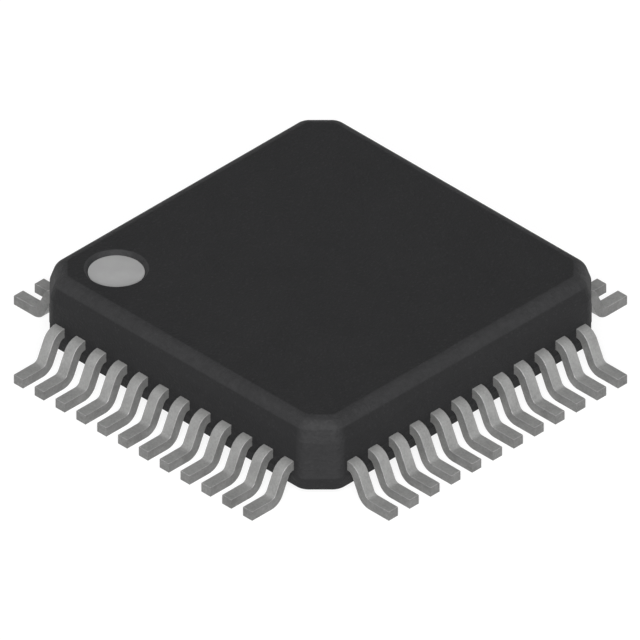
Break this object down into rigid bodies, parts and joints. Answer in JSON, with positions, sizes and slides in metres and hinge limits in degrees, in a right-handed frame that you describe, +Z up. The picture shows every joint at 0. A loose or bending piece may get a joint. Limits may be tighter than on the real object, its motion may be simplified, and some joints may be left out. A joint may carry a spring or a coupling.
{
  "type": "low-profile quad flat package",
  "caption": "Square surface-mount integrated circuit: black moulded package with gull-wing leads on all four sides and a round pin-one mark.",
  "frame": {"origin": "centre of the package in plan, on the seating plane that the lead feet stand on", "axes": "+Z up, away from the board; lead 1 is at the -X end of the -Y side, and the numbers run counter-clockwise seen from +Z"},
  "size_m": [0.009, 0.009, 0.0016],
  "materials": {
    "mould_compound": "matt black filled epoxy, as moulded",
    "tin_plated_leads": "matt tin plate on copper alloy strip",
    "marking_ink": "flat pale grey ink",
    "leadframe_copper": "rolled copper alloy sheet",
    "die_attach_epoxy": "silver-filled epoxy, cured",
    "silicon": "polished and passivated silicon",
    "gold_wire": "drawn gold wire"
  },
  "bodies": {
    "root": {"mould_body": "mould_compound", "pin_one_dot": "marking_ink", "die_pad": "leadframe_copper", "die_attach": "die_attach_epoxy", "silicon_die": "silicon", "lead_01": "tin_plated_leads", "lead_02": "tin_plated_leads", "lead_03": "tin_plated_leads", "lead_04": "tin_plated_leads", "lead_05": "tin_plated_leads", "lead_06": "tin_plated_leads", "lead_07": "tin_plated_leads", "lead_08": "tin_plated_leads", "lead_09": "tin_plated_leads", "lead_10": "tin_plated_leads", "lead_11": "tin_plated_leads", "lead_12": "tin_plated_leads", "lead_13": "tin_plated_leads", "lead_14": "tin_plated_leads", "lead_15": "tin_plated_leads", "lead_16": "tin_plated_leads", "lead_17": "tin_plated_leads", "lead_18": "tin_plated_leads", "lead_19": "tin_plated_leads", "lead_20": "tin_plated_leads", "lead_21": "tin_plated_leads", "lead_22": "tin_plated_leads", "lead_23": "tin_plated_leads", "lead_24": "tin_plated_leads", "lead_25": "tin_plated_leads", "lead_26": "tin_plated_leads", "lead_27": "tin_plated_leads", "lead_28": "tin_plated_leads", "lead_29": "tin_plated_leads", "lead_30": "tin_plated_leads", "lead_31": "tin_plated_leads", "lead_32": "tin_plated_leads", "lead_33": "tin_plated_leads", "lead_34": "tin_plated_leads", "lead_35": "tin_plated_leads", "lead_36": "tin_plated_leads", "lead_37": "tin_plated_leads", "lead_38": "tin_plated_leads", "lead_39": "tin_plated_leads", "lead_40": "tin_plated_leads", "lead_41": "tin_plated_leads", "lead_42": "tin_plated_leads", "lead_43": "tin_plated_leads", "lead_44": "tin_plated_leads", "lead_45": "tin_plated_leads", "lead_46": "tin_plated_leads", "lead_47": "tin_plated_leads", "lead_48": "tin_plated_leads", "bond_wires_01_12": "gold_wire", "bond_wires_13_24": "gold_wire", "bond_wires_25_36": "gold_wire", "bond_wires_37_48": "gold_wire"}
  },
  "joints": []
}
